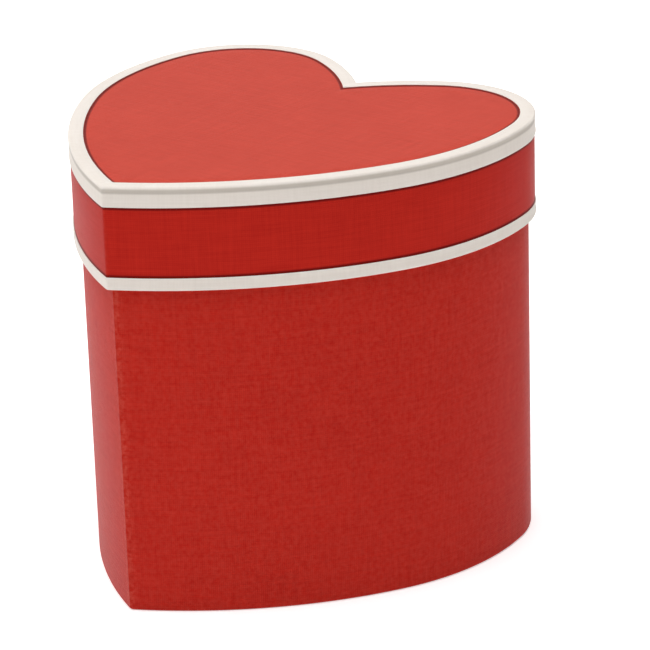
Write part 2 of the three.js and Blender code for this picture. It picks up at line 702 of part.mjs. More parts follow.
// The worm is its own cross-section, a core with one lobe, drawn up Z and twisted one turn a pitch.
function wormGeometry() {
  const pitch = Math.PI * trainModule;
  const core = wormPitchRadius - 1.3 * trainModule;
  const crest = wormPitchRadius + 0.8 * trainModule;
  const turns = 5;
  const stepsPerTurn = 10;
  const section = [];
  for (const [radius, degrees] of [
    [crest, -28],
    [crest, 28],
    [core, 82],
    [core, 147],
    [core, 213],
    [core, 278],
  ]) {
    const angle = ((degrees - 90) * Math.PI) / 180;
    section.push(new THREE.Vector2(radius * Math.cos(angle), radius * Math.sin(angle)));
  }
  const height = turns * pitch;
  const options = { depth: height, steps: turns * stepsPerTurn, bevelEnabled: false };
  const thread = new THREE.ExtrudeGeometry(new THREE.Shape(section), options);
  thread.translate(0, 0, -height / 2);
  const at = thread.getAttribute("position");
  const turned = new THREE.Vector3();
  const up = new THREE.Vector3(0, 0, 1);
  for (let index = 0; index < at.count; index++) {
    turned.fromBufferAttribute(at, index);
    turned.applyAxisAngle(up, (2 * Math.PI * turned.z) / pitch);
    at.setXYZ(index, turned.x, turned.y, turned.z);
  }
  const shaft = rod(wormShaftRadius, bedThickness + 0.4 - governorZ, governorTop - governorZ, [0, 0], 12);
  return join(thread, shaft);
}

function addScrews(parent) {
  const bracketTop = bedThickness + footSheet;
  const sets = [
    ["bridge_screw", bridgeScrewSpots, bracketScrew, bracketTop, bracketTop - 0.2],
    ["bearing_screw", bearingScrewSpots, bracketScrew, bracketTop, bracketTop - 0.2],
    ["governor_screw", governorScrewSpots, bracketScrew, bracketTop, bracketTop - 0.2],
    ["comb_screw", combScrewSpots, combScrew, combBottom + combThickness, combThickness + 6],
  ];
  for (const [name, spots, size, seat, length] of sets) {
    spots.forEach(([x, y], index) => {
      mesh(parent, `${name}_${index + 1}`, screwGeometry(size, length), "steel", [x, y, seat]);
    });
  }
  const washerTop = -floorBoard - paperThickness;
  const seat = washerTop - washerThickness;
  baseScrewSpots.forEach(([x, y], index) => {
    const screw = screwGeometry(baseScrew, bedThickness + bossHeight - 0.4 - seat).rotateX(Math.PI);
    mesh(parent, `base_screw_${index + 1}`, screw, "steel", [x, y, seat]);
    const ring = cut(rod(washerRadius, seat, washerTop), rod(baseScrew.shank + screwFit, seat - 1, washerTop + 1));
    mesh(parent, `base_washer_${index + 1}`, ring, "steel", [x, y, 0]);
  });
}

const musicBox = new THREE.Group();
addBody(musicBox);
addPlatform(musicBox);
addLid(group(musicBox));
const movement = group(musicBox, [0, movementY, floorTop]);
addBedplate(movement);
addSpring(movement);
addGreatWheel(movement);
addWinding(movement);
addDrum(movement);
addDrumBearings(movement);
addComb(movement);
addGovernor(movement);
addScrews(movement);

export default musicBox;
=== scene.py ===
import json
import math

import bpy
from mathutils import Matrix, Vector


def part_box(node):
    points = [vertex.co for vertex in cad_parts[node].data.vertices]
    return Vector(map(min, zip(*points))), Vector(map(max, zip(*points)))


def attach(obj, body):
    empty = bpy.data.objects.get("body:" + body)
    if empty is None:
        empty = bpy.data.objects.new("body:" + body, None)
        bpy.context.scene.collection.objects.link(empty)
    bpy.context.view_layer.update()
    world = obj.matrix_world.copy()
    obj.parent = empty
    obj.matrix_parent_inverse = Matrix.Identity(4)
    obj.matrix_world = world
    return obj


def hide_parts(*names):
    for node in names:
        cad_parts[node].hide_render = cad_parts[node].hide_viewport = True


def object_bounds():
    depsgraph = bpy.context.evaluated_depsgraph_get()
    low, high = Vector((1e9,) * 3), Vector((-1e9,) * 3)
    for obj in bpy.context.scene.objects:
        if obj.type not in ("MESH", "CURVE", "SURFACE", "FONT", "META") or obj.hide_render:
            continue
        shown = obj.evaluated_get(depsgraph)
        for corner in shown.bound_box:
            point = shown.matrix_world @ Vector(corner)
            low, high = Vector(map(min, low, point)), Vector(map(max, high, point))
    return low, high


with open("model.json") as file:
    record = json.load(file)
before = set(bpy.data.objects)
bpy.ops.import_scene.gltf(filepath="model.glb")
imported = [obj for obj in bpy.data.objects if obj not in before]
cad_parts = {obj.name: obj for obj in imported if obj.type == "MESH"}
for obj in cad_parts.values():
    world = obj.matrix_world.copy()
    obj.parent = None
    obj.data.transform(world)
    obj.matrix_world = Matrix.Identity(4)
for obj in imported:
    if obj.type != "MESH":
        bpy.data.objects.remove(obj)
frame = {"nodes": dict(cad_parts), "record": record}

# Heart-shaped cloth-covered box with a lift-off lid and a wind-up comb movement under its false floor.
mm = 0.001
cadLow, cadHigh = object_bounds()
record = frame["record"]
print("frame loaded:", len(frame["nodes"]), "nodes")


# camera, light and floor, all places in mm
cameraPlan = {
    "azimuth": 38.70,
    "elevation": 21.24,
    "roll": -1.8,
    "distance": 843.7,
    "lens": 188.6,
    "aim": (0, 20.09, 53.56),
    "slide": (2.8, -4.14),  # right and up, to centre the box
}

lightPlan = {
    "overhead": {"place": (-60, -200, 1000), "spread": 80, "strength": 2.75},
    "left": {"place": (-620, -200, 240), "aim": (0, 0, 60), "size": 420, "power": 0.06},
}

floorPlan = {
    "size": 8000,
    "colour": (0.9, 0.9, 0.9, 1),
    "glow": (0.21, 0.42),  # the floor's own light, and what the camera sees of it
    "frontLight": 0.1,  # what surrounds the camera, and what is behind the box
    "backLight": 0.55,
    "seen": 1.1,
}


def lookFrom(place, aim):
    return (Vector(aim) - Vector(place)).to_track_quat("-Z", "Y").to_euler()


def addCamera(plan):
    azimuth = math.radians(plan["azimuth"])
    elevation = math.radians(plan["elevation"])
    roll = math.radians(plan["roll"])
    back = Vector(
        (
            math.sin(azimuth) * math.cos(elevation),
            -math.cos(azimuth) * math.cos(elevation),
            math.sin(elevation),
        )
    )
    level = (-back).cross(Vector((0, 0, 1))).normalized()
    upright = level.cross(-back)
    right = level * math.cos(roll) + upright * math.sin(roll)
    up = upright * math.cos(roll) - level * math.sin(roll)
    aim = Vector(plan["aim"]) + right * plan["slide"][0] + up * plan["slide"][1]
    turn = Matrix((right, up, back)).transposed().to_euler()
    bpy.ops.object.camera_add(location=(aim + back * plan["distance"]) * mm, rotation=turn)
    camera = bpy.context.object
    camera.name = "viewCamera"
    camera.data.lens = plan["lens"]
    camera.data.sensor_width = 36
    camera.data.clip_start = 0.01
    bpy.context.scene.camera = camera


def addLights(plan):
    overhead = plan["overhead"]
    turn = lookFrom(overhead["place"], (0, 0, 0))
    bpy.ops.object.light_add(type="SUN", location=Vector(overhead["place"]) * mm, rotation=turn)
    lamp = bpy.context.object
    lamp.name = "overheadLight"
    lamp.data.angle = math.radians(overhead["spread"])
    lamp.data.energy = overhead["strength"]
    side = plan["left"]
    turn = lookFrom(side["place"], side["aim"])
    bpy.ops.object.light_add(type="AREA", location=Vector(side["place"]) * mm, rotation=turn)
    lamp = bpy.context.object
    lamp.name = "leftLight"
    lamp.data.shape = "DISK"
    lamp.data.size = side["size"] * mm
    lamp.data.energy = side["power"]


def addStage(plan):
    bpy.ops.mesh.primitive_plane_add(size=plan["size"] * mm, location=(0, 0, cadLow.z - 0.02 * mm))
    floor = bpy.context.object
    floor.name = "paleFloor"
    paint = bpy.data.materials.new("paleFloor")
    paint.use_nodes = True
    surface = paint.node_tree.nodes["Principled BSDF"]
    surface.inputs["Base Color"].default_value = plan["colour"]
    surface.inputs["Roughness"].default_value = 0.9
    surface.inputs["Specular IOR Level"].default_value = 0.1
    surface.inputs["Emission Color"].default_value = (1, 1, 1, 1)
    seen = paint.node_tree.nodes.new("ShaderNodeLightPath").outputs["Is Camera Ray"]
    glow = remap(paint.node_tree, seen, 0.0, 1.0, *plan["glow"])
    paint.node_tree.links.new(glow, surface.inputs["Emission Strength"])
    floor.data.materials.append(paint)
    world = bpy.data.worlds.new("paleSurroundings")
    bpy.context.scene.world = world
    world.use_nodes = True
    tree = world.node_tree
    background = tree.nodes["Background"]
    background.inputs["Color"].default_value = (1, 1, 1, 1)
    direction = tree.nodes.new("ShaderNodeTexCoord").outputs["Generated"]
    azimuth = math.radians(cameraPlan["azimuth"])
    facing = tree.nodes.new("ShaderNodeVectorMath")
    facing.operation = "DOT_PRODUCT"
    facing.inputs[1].default_value = (-math.sin(azimuth), math.cos(azimuth), 0)
    tree.links.new(direction, facing.inputs[0])
    around = remap(tree, facing.outputs["Value"], -0.4, 0.8, plan["frontLight"], plan["backLight"])
    seen = tree.nodes.new("ShaderNodeLightPath").outputs["Is Camera Ray"]
    strength = tree.nodes.new("ShaderNodeMix")
    feed(tree, [strength.inputs[0], strength.inputs[2], strength.inputs[3]], [seen, around, plan["seen"]])
    tree.links.new(strength.outputs[0], background.inputs["Strength"])


def calc(tree, operation, *terms):
    node = tree.nodes.new("ShaderNodeMath")
    node.operation = operation
    feed(tree, node.inputs, terms)
    return node.outputs[0]


def feed(tree, sockets, terms):
    for socket, term in zip(sockets, terms):
        if isinstance(term, bpy.types.NodeSocket):
            tree.links.new(term, socket)
        else:
            socket.default_value = term


def blendColours(tree, factor, first, second):
    node = tree.nodes.new("ShaderNodeMix")
    node.data_type = "RGBA"
    feed(tree, [node.inputs[0], node.inputs[6], node.inputs[7]], [factor, first, second])
    return node.outputs[2]


def remap(tree, value, low, high, toLow=0.0, toHigh=1.0):
    node = tree.nodes.new("ShaderNodeMapRange")
    feed(tree, node.inputs, [value, low, high, toLow, toHigh])
    return node.outputs["Result"]


def speckle(tree, vector, scale, detail=2.0, roughness=0.5):
    node = tree.nodes.new("ShaderNodeTexNoise")
    feed(tree, [node.inputs["Vector"]], [vector])
    node.inputs["Scale"].default_value = 1.0
    if isinstance(scale, bpy.types.NodeSocket):
        tree.links.new(scale, node.inputs["Scale"])
    else:
        node.inputs["Scale"].default_value = scale
    node.inputs["Detail"].default_value = detail
    node.inputs["Roughness"].default_value = roughness
    return node.outputs["Fac"]


def vectorOf(tree, x, y, z):
    node = tree.nodes.new("ShaderNodeCombineXYZ")
    feed(tree, node.inputs, [x, y, z])
    return node.outputs[0]


def partsOf(tree, vector):
    node = tree.nodes.new("ShaderNodeSeparateXYZ")
    tree.links.new(vector, node.inputs[0])
    return node.outputs


addCamera(cameraPlan)
addLights(lightPlan)
addStage(floorPlan)
bpy.context.scene.view_settings.view_transform = "Standard"
print("stage set")


def newGroup(name, inputs, outputs):
    tree = bpy.data.node_groups.new(name, "ShaderNodeTree")
    for label, kind, value in inputs:
        socket = tree.interface.new_socket(name=label, in_out="INPUT", socket_type=kind)
        if value is not None:
            socket.default_value = value
    for label in outputs:
        tree.interface.new_socket(name=label, in_out="OUTPUT", socket_type="NodeSocketFloat")
    return tree, tree.nodes.new("NodeGroupInput").outputs, tree.nodes.new("NodeGroupOutput").inputs


weavePlan = {
    "waver": 160.0,  # scale of the threads' wandering
    "warpWaver": 0.8,
    "weftWaver": 0.9,
    "cross": 0.45,  # how far a thread sinks where it goes under
    "weftStreak": (90.0, 1500.0, 0.0),
    "warpStreak": (1300.0, 80.0, 4.0),
    "warpShare": 0.45,
    "streakSpan": (0.34, 0.66),
    "threadTone": (0.3, 0.1),
    "streakTone": 0.3,
}


def streakNoise(tree, along, across, stretch):
    x = calc(tree, "MULTIPLY", along, stretch[0])
    y = calc(tree, "MULTIPLY", across, stretch[1])
    return speckle(tree, vectorOf(tree, x, y, stretch[2]), 1.0, 3.0, 0.6)


def threadRound(tree, value):
    return calc(tree, "ABSOLUTE", calc(tree, "SINE", calc(tree, "MULTIPLY", value, math.pi)))


# Over-and-under threads with slubs that run along them. Height and Tone are about 0 to 1.
def makeWeaveGroup(plan):
    tree, source, result = newGroup(
        "plainWeave",
        [
            ("Vector", "NodeSocketVector", None),
            ("Pitch", "NodeSocketFloat", 0.0005),
            ("Slub", "NodeSocketFloat", 0.5),
        ],
        ["Height", "Tone"],
    )
    along, across, _ = partsOf(tree, source["Vector"])
    warp = calc(tree, "DIVIDE", along, source["Pitch"])
    weft = calc(tree, "DIVIDE", across, source["Pitch"])
    drift = speckle(tree, source["Vector"], plan["waver"], 1.0)
    warp = calc(tree, "ADD", warp, calc(tree, "MULTIPLY", drift, plan["warpWaver"]))
    weft = calc(tree, "ADD", weft, calc(tree, "MULTIPLY", drift, plan["weftWaver"]))
    warpRound = threadRound(tree, warp)
    weftRound = threadRound(tree, weft)
    cell = calc(tree, "ADD", calc(tree, "FLOOR", warp), calc(tree, "FLOOR", weft))
    over = calc(tree, "PINGPONG", cell, 1.0)
    sink = plan["cross"]
    warpTop = calc(tree, "MULTIPLY", warpRound, calc(tree, "MULTIPLY_ADD", weftRound, sink, 1 - sink))
    weftTop = calc(tree, "MULTIPLY", weftRound, calc(tree, "MULTIPLY_ADD", warpRound, sink, 1 - sink))
    upper = calc(tree, "MULTIPLY", over, warpTop)
    lower = calc(tree, "MULTIPLY", calc(tree, "SUBTRACT", 1.0, over), weftTop)
    thread = calc(tree, "ADD", upper, lower)
    weftStreak = streakNoise(tree, along, across, plan["weftStreak"])
    warpStreak = streakNoise(tree, along, across, plan["warpStreak"])
    share = plan["warpShare"]
    rest = calc(tree, "MULTIPLY", weftStreak, 1 - share)
    streak = calc(tree, "MULTIPLY_ADD", warpStreak, share, rest)
    streak = remap(tree, streak, *plan["streakSpan"])
    raised = calc(tree, "MULTIPLY", streak, source["Slub"])
    tree.links.new(calc(tree, "ADD", thread, raised), result["Height"])
    threadTone = calc(tree, "MULTIPLY_ADD", thread, *plan["threadTone"])
    middled = calc(tree, "SUBTRACT", streak, 0.5)
    tone = calc(tree, "MULTIPLY_ADD", middled, source["Slub"], plan["streakTone"])
    tree.links.new(calc(tree, "ADD", threadTone, tone), result["Tone"])
    return tree


# Soft clouding of a colour over the whole piece.
def makeDriftGroup():
    tree, source, result = newGroup(
        "toneDrift",
        [("Vector", "NodeSocketVector", None), ("Scale", "NodeSocketFloat", 30.0)],
        ["Tone"],
    )
    cloud = speckle(tree, source["Vector"], source["Scale"], 3.0, 0.55)
    tree.links.new(remap(tree, cloud, 0.3, 0.7), result["Tone"])
    return tree


# Mask that is 1 where a convex edge is rubbed.
def makeWearGroup():
    tree, source, result = newGroup(
        "edgeRub",
        [
            ("Vector", "NodeSocketVector", None),
            ("Scale", "NodeSocketFloat", 900.0),
            ("Reach", "NodeSocketFloat", 0.06),
        ],
        ["Mask"],
    )
    shape = tree.nodes.new("ShaderNodeNewGeometry")
    flat = 0.505  # pointiness of a flat surface, and a little over
    top = calc(tree, "ADD", source["Reach"], flat)
    edge = remap(tree, shape.outputs["Pointiness"], flat, top)
    patches = remap(tree, speckle(tree, source["Vector"], source["Scale"], 3.0, 0.6), 0.35, 0.65)
    tree.links.new(calc(tree, "MULTIPLY", edge, patches), result["Mask"])
    return tree


# Fine lines left by drawing, turning or grinding, mostly along X.
def makeGrainGroup():
    tree, source, result = newGroup(
        "drawnGrain",
        [
            ("Vector", "NodeSocketVector", None),
            ("Fineness", "NodeSocketFloat", 9000.0),
            ("Length", "NodeSocketFloat", 300.0),
        ],
        ["Height", "Tone"],
    )
    x, y, z = partsOf(tree, source["Vector"])
    stretched = vectorOf(
        tree,
        calc(tree, "MULTIPLY", x, source["Length"]),
        calc(tree, "MULTIPLY", y, source["Fineness"]),
        calc(tree, "MULTIPLY", z, source["Fineness"]),
    )
    lines = speckle(tree, stretched, 1.0, 2.0, 0.6)
    tree.links.new(lines, result["Height"])
    smudge = speckle(tree, source["Vector"], 220.0, 3.0, 0.6)
    mixed = calc(tree, "MULTIPLY_ADD", lines, 0.5, calc(tree, "MULTIPLY", smudge, 0.5))
    tree.links.new(remap(tree, mixed, 0.35, 0.65), result["Tone"])
    return tree


# Short fibres and pits, as in paper, greyboard, flock and castings.
def makeFibreGroup():
    tree, source, result = newGroup(
        "shortFibre",
        [("Vector", "NodeSocketVector", None), ("Scale", "NodeSocketFloat", 1500.0)],
        ["Height", "Tone"],
    )
    fine = speckle(tree, source["Vector"], source["Scale"], 4.0, 0.7)
    flecks = tree.nodes.new("ShaderNodeTexVoronoi")
    tree.links.new(source["Vector"], flecks.inputs["Vector"])
    tree.links.new(calc(tree, "MULTIPLY", source["Scale"], 0.55), flecks.inputs["Scale"])
    fleck = remap(tree, flecks.outputs["Distance"], 0.1, 0.7)
    both = calc(tree, "MULTIPLY_ADD", fine, 0.7, calc(tree, "MULTIPLY", fleck, 0.3))
    tree.links.new(both, result["Height"])
    tree.links.new(remap(tree, both, 0.3, 0.75), result["Tone"])
    return tree


groups = {
    "weave": makeWeaveGroup(weavePlan),
    "drift": makeDriftGroup(),
    "rub": makeWearGroup(),
    "grain": makeGrainGroup(),
    "fibre": makeFibreGroup(),
}


def placeGroup(tree, key, vector, **values):
    node = tree.nodes.new("ShaderNodeGroup")
    node.node_tree = groups[key]
    tree.links.new(vector, node.inputs["Vector"])
    for label, value in values.items():
        node.inputs[label].default_value = value
    return node.outputs


# One finish for each material slot. The pattern says which group gives the surface its detail.
finishes = {
    "red_bookcloth": {
        "pattern": "weave",
        "values": {"Pitch": 0.00048, "Slub": 0.5},
        # painted shade: strength and colour of the dark line painted beside the tape edges
        "paintedShade": (0.85, (0.13, 0.0008, 0.0006, 1)),
        "deep": (0.40, 0.008, 0.004, 1),
        "light": (0.57, 0.020, 0.009, 1),
        "worn": (0.70, 0.12, 0.08, 1),
        "wear": 0.35,
        "drift": 0.16,
        "roughness": (0.62, 0.78),
        "bump": (0.45, 0.00006),
        "sheen": (0.2, 0.3),
        "specular": 0.1,
    },
    "cream_tape": {
        "pattern": "weave",
        "values": {"Pitch": 0.00034, "Slub": 0.3},
        # painted shade: strength and colour of the dark line painted under the tape's fold
        "paintedShade": (0.6, (0.42, 0.37, 0.31, 1)),
        "deep": (0.75, 0.675, 0.60, 1),
        "light": (0.90, 0.83, 0.765, 1),
        "worn": (0.93, 0.90, 0.87, 1),
        "wear": 0.3,
        "drift": 0.25,
        "roughness": (0.6, 0.75),
        "bump": (0.35, 0.00004),
        "sheen": (0.15, 0.4),
        "specular": 0.2,
    },
    "cream_paper": {
        "pattern": "fibre",
        "values": {"Scale": 1700.0},
        "deep": (0.66, 0.58, 0.46, 1),
        "light": (0.80, 0.74, 0.62, 1),
        "worn": (0.84, 0.80, 0.72, 1),
        "wear": 0.2,
        "drift": 0.3,
        "roughness": (0.75, 0.9),
        "bump": (0.3, 0.00004),
        "sheen": (0.0, 0.5),
        "specular": 0.3,
    },
    "greyboard": {
        "pattern": "fibre",
        "values": {"Scale": 1100.0},
        "deep": (0.22, 0.19, 0.155, 1),
        "light": (0.40, 0.36, 0.31, 1),
        "worn": (0.46, 0.42, 0.37, 1),
        "wear": 0.4,
        "drift": 0.4,
        "roughness": (0.8, 0.95),
        "bump": (0.5, 0.0001),
        "sheen": (0.0, 0.5),
        "specular": 0.3,
    },
    "red_velvet": {
        "pattern": "fibre",
        "values": {"Scale": 2600.0},
        "deep": (0.12, 0.004, 0.005, 1),
        "light": (0.28, 0.018, 0.018, 1),
        "worn": (0.34, 0.04, 0.035, 1),
        "wear": 0.3,
        "drift": 0.5,
        "roughness": (0.85, 0.98),
        "bump": (0.7, 0.00015),
        "sheen": (0.8, 0.3),
        "specular": 0.2,
    },
    "cast_zinc": {
        "pattern": "fibre",
        "values": {"Scale": 800.0},
        "deep": (0.30, 0.31, 0.32, 1),
        "light": (0.48, 0.49, 0.50, 1),
        "worn": (0.68, 0.68, 0.69, 1),
        "wear": 0.7,
        "drift": 0.3,
        "roughness": (0.38, 0.58),
        "bump": (0.35, 0.00006),
        "metal": 0.9,
    },
    "plated_sheet": {
        "pattern": "grain",
        "values": {"Fineness": 7000.0, "Length": 250.0},
        "deep": (0.44, 0.43, 0.41, 1),
        "light": (0.62, 0.61, 0.59, 1),
        "worn": (0.74, 0.73, 0.71, 1),
        "wear": 0.5,
        "drift": 0.25,
        "roughness": (0.22, 0.38),
        "bump": (0.2, 0.00002),
        "metal": 1.0,
    },
    "comb_steel": {
        "pattern": "grain",
        "values": {"Fineness": 9000.0, "Length": 500.0},
        "deep": (0.46, 0.47, 0.49, 1),
        "light": (0.66, 0.67, 0.69, 1),
        "worn": (0.80, 0.80, 0.81, 1),
        "wear": 0.5,
        "drift": 0.2,
        "roughness": (0.24, 0.4),
        "bump": (0.25, 0.00002),
        "metal": 1.0,
    },
    "spring_steel": {
        "pattern": "grain",
        "values": {"Fineness": 8000.0, "Length": 200.0},
        "deep": (0.10, 0.12, 0.17, 1),
        "light": (0.24, 0.27, 0.34, 1),
        "worn": (0.45, 0.46, 0.48, 1),
        "wear": 0.5,
        "drift": 0.4,
        "roughness": (0.25, 0.4),
        "bump": (0.2, 0.00002),
        "metal": 1.0,
    },
    "steel": {
        "pattern": "grain",
        "values": {"Fineness": 6000.0, "Length": 600.0},
        "deep": (0.50, 0.50, 0.50, 1),
        "light": (0.70, 0.70, 0.70, 1),
        "worn": (0.82, 0.82, 0.82, 1),
        "wear": 0.5,
        "drift": 0.2,
        "roughness": (0.18, 0.32),
        "bump": (0.2, 0.00002),
        "metal": 1.0,
    },
    "brass": {
        "pattern": "grain",
        "values": {"Fineness": 6500.0, "Length": 400.0},
        "deep": (0.55, 0.33, 0.10, 1),
        "light": (0.83, 0.58, 0.24, 1),
        "worn": (0.92, 0.74, 0.42, 1),
        "wear": 0.6,
        "drift": 0.35,
        "roughness": (0.2, 0.38),
        "bump": (0.22, 0.00002),
        "metal": 1.0,
    },
    "nylon": {
        "pattern": "fibre",
        "values": {"Scale": 900.0},
        "deep": (0.70, 0.67, 0.58, 1),
        "light": (0.84, 0.82, 0.75, 1),
        "worn": (0.88, 0.87, 0.83, 1),
        "wear": 0.3,
        "drift": 0.2,
        "roughness": (0.4, 0.55),
        "bump": (0.15, 0.00003),
        "specular": 0.5,
    },
}


# Painted shade: a dark line along the crease beside a tape edge, or under the tape's fold; mask from the
# piece's own height or inset.
def glueLine(tree, value, lines):
    total = 0.0
    for middle, reach in lines:
        away = calc(tree, "ABSOLUTE", calc(tree, "SUBTRACT", value, middle))
        total = calc(tree, "ADD", total, remap(tree, away, reach * 0.35, reach, 1.0, 0.0))
    return calc(tree, "MINIMUM", total, 1.0)


def makeFinish(name, plan, onUv=False, lines=()):
    material = bpy.data.materials.new(name)
    material.use_nodes = True
    tree = material.node_tree
    surface = tree.nodes["Principled BSDF"]
    coordinates = tree.nodes.new("ShaderNodeTexCoord")
    solid = coordinates.outputs["Object"]
    vector = coordinates.outputs["UV"] if onUv else solid
    pattern = placeGroup(tree, plan["pattern"], vector, **plan["values"])
    drift = placeGroup(tree, "drift", solid, Scale=28.0)["Tone"]
    rub = placeGroup(tree, "rub", solid)["Mask"]
    tone = calc(tree, "MULTIPLY", calc(tree, "SUBTRACT", drift, 0.5), plan["drift"])
    tone = calc(tree, "ADD", pattern["Tone"], tone)
    tone = remap(tree, tone, 0.0, 1.0)
    colour = blendColours(tree, tone, plan["deep"], plan["light"])
    worn = calc(tree, "MULTIPLY", rub, plan["wear"])
    colour = blendColours(tree, worn, colour, plan["worn"])
    # painted shade: darkens the colour in thin lines beside the tape edges and under the tape's fold
    if lines:
        height = partsOf(tree, coordinates.outputs["UV"])[1]
        mask = calc(tree, "MULTIPLY", glueLine(tree, height, lines), plan["paintedShade"][0])
        colour = blendColours(tree, mask, colour, plan["paintedShade"][1])
    tree.links.new(colour, surface.inputs["Base Color"])
    low, high = plan["roughness"]
    tree.links.new(remap(tree, pattern["Tone"], 0.0, 1.0, high, low), surface.inputs["Roughness"])
    bump = tree.nodes.new("ShaderNodeBump")
    bump.inputs["Strength"].default_value = plan["bump"][0]
    bump.inputs["Distance"].default_value = plan["bump"][1]
    tree.links.new(pattern["Height"], bump.inputs["Height"])
    tree.links.new(bump.outputs["Normal"], surface.inputs["Normal"])
    surface.inputs["Metallic"].default_value = plan.get("metal", 0.0)
    surface.inputs["Specular IOR Level"].default_value = plan.get("specular", 0.5)
    sheen = plan.get("sheen", (0.0, 0.5))
    surface.inputs["Sheen Weight"].default_value = sheen[0]
    surface.inputs["Sheen Roughness"].default_value = sheen[1]
    return material


paints = {slot: makeFinish(slot, plan) for slot, plan in finishes.items()}
paints["clothRound"] = makeFinish("red_bookcloth_wall", finishes["red_bookcloth"], True)
paints["tapeRound"] = makeFinish("cream_tape_round", finishes["cream_tape"], True)

for part in record["subparts"]:
    cadMesh = frame["nodes"][part["node"]].data
    cadMesh.materials.clear()
    cadMesh.materials.append(paints[part["material_slot"]])
print("finishes made:", len(paints))


# The heart's half outline, as four arcs from the cleft to the point.
heartPlan = {
    "width": 112,
    "cleftHeading": 45,
    "arcs": [(0.6018, 18.6), (0.2325, 105.2), (0.5559, 39.5), (1.0216, None)],  # widths, degrees
    "step": 1.3,
    "cleftSpare": 12,
    "pointSpare": 4,
}


def placeHeartArcs(plan, width):
    arcs = []
    heading = math.radians(plan["cleftHeading"])
    at = Vector((0, 0))
    for radius, sweep in plan["arcs"]:
        centre = at + Vector((math.sin(heading), -math.cos(heading))) * radius
        start = heading + math.pi / 2
        if sweep is None:
            end = -math.acos(-centre.x / radius)
        else:
            heading -= math.radians(sweep)
            at = centre + Vector((-math.sin(heading), math.cos(heading))) * radius
            end = heading + math.pi / 2
        arcs.append({"radius": radius, "centre": centre, "start": start, "end": end})
    lobe, flank, last = arcs[1:]
    top = lobe["centre"].y + lobe["radius"]
    point = last["centre"].y + last["radius"] * math.sin(last["end"])
    scale = width / 2 / (flank["centre"].x + flank["radius"])
    along = 0
    for arc in reversed(arcs):
        arc["radius"] *= scale
        arc["centre"] = (arc["centre"] - Vector((0, (top + point) / 2))) * scale
        arc["fromPoint"] = along  # length of outline between the point and the arc's end
        along += (arc["start"] - arc["end"]) * arc["radius"]
    return arcs


heartArcs = placeHeartArcs(heartPlan, heartPlan["width"] * mm)


# Signed length along the outline from the point, and how far outside the lid's outline a place is.
def heartPlace(x, y):
    best = None
    for arc in heartArcs:
        away = Vector((abs(x), y)) - arc["centre"]
        angle = math.atan2(away.y, away.x)
        beyond = max(angle - arc["start"], arc["end"] - angle, 0)
        offset = away.length - arc["radius"]
        miss = abs(offset) + beyond * arc["radius"]
        if best is None or miss < best[0]:
            best = (miss, arc["fromPoint"] + (angle - arc["end"]) * arc["radius"], offset)
    return best[1], best[2]


def alone(piece):
    if bpy.context.object and bpy.context.object.mode != "OBJECT":
        bpy.ops.object.mode_set(mode="OBJECT")
    bpy.ops.object.select_all(action="DESELECT")
    piece.select_set(True)
    bpy.context.view_layer.objects.active = piece


# Leaves the piece in edit mode with only the parts that pass the test selected.
def pick(piece, kind, test):
    alone(piece)
    bpy.ops.object.mode_set(mode="EDIT")
    bpy.ops.mesh.select_mode(type=kind)
    bpy.ops.mesh.select_all(action="DESELECT")
    bpy.ops.object.mode_set(mode="OBJECT")
    mesh = piece.data
    for item in {"VERT": mesh.vertices, "EDGE": mesh.edges, "FACE": mesh.polygons}[kind]:
        item.select = test(item)
    bpy.ops.object.mode_set(mode="EDIT")


def putOn(piece, kind, **settings):
    alone(piece)
    bpy.ops.object.modifier_add(type=kind)
    modifier = piece.modifiers[-1]
    for name, value in settings.items():
        setattr(modifier, name, value)
    bpy.ops.object.modifier_apply(modifier=modifier.name)


def allEdit(piece):
    alone(piece)
    bpy.ops.object.mode_set(mode="EDIT")
    bpy.ops.mesh.select_all(action="SELECT")


# Draws a section by extruding a vertex along its path; (out, up, radius) rounds that corner.
def drawSection(name, path):
    bpy.ops.object.select_all(action="DESELECT")
    bpy.ops.mesh.primitive_plane_add(size=mm, location=(0, 0, 0), calc_uvs=False)
    piece = bpy.context.object
    piece.name = name
    piece.data.name = name
    bpy.ops.object.mode_set(mode="EDIT")
    bpy.ops.mesh.select_mode(type="VERT")
    bpy.ops.mesh.merge(type="CENTER")
    here = Vector((0, 0, 0))
    for index, corner in enumerate(path):
        there = Vector((corner[0], 0, corner[1])) * mm
        if index == 0:
            bpy.ops.transform.translate(value=there)
        else:
            bpy.ops.mesh.extrude_region_move(TRANSFORM_OT_translate={"value": there - here})
        here = there
    for corner in path:
        if len(corner) == 3:
            spot = Vector((corner[0], 0, corner[1])) * mm
            pick(piece, "VERT", lambda vertex: (vertex.co - spot).length < 1e-6)
            bpy.ops.mesh.bevel(offset=corner[2] * mm, segments=3, affect="VERTICES")
    bpy.ops.object.mode_set(mode="OBJECT")
    return piece


